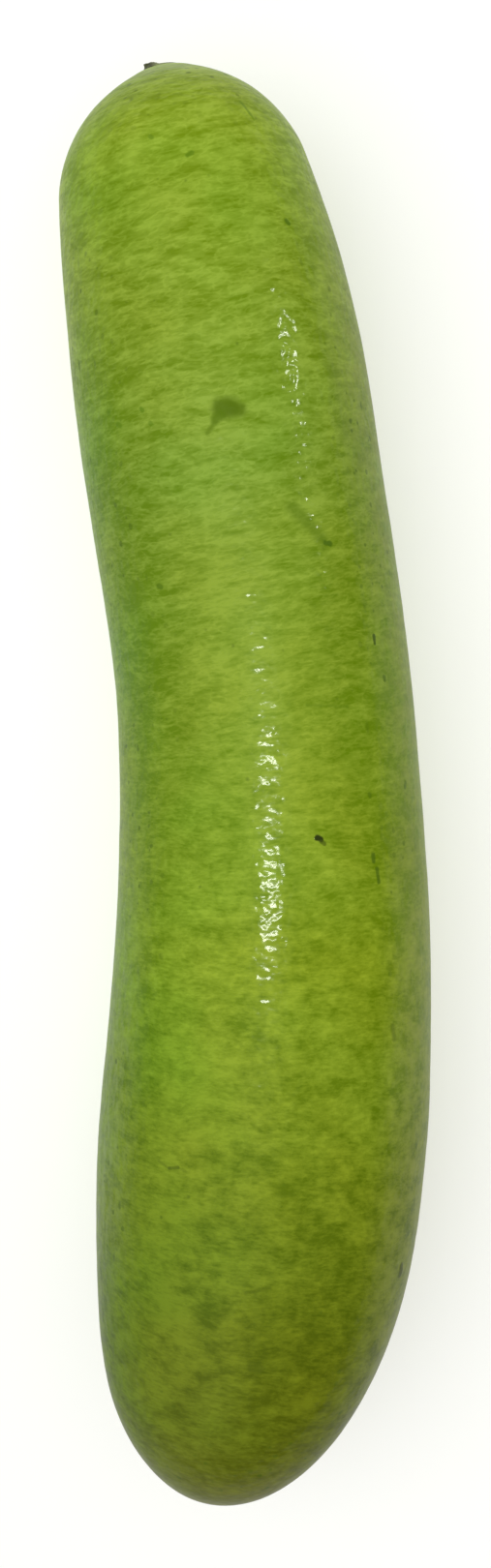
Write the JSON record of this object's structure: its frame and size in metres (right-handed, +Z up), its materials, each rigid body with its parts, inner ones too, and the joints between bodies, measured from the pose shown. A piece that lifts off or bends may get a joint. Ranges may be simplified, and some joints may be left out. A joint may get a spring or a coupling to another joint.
{
  "type": "bottle gourd",
  "caption": "Long, gently bowed green bottle gourd with a short cut stub of its stem, lying on its side.",
  "frame": {"origin": "on the surface the gourd lies on, under the middle of its bounding box", "axes": "+Y along the gourd towards its stem end, +Z up from the surface it lies on, +X to the outer side of its bow"},
  "size_m": [0.0992, 0.3854, 0.085],
  "materials": {
    "gourd_skin": "smooth waxed lime green skin, satin with sharp glints",
    "dried_stem": "dry, dull grey-green fibre, brown where it was cut"
  },
  "bodies": {
    "root": {"fruit": "gourd_skin", "stem_stub": "dried_stem"}
  },
  "joints": []
}
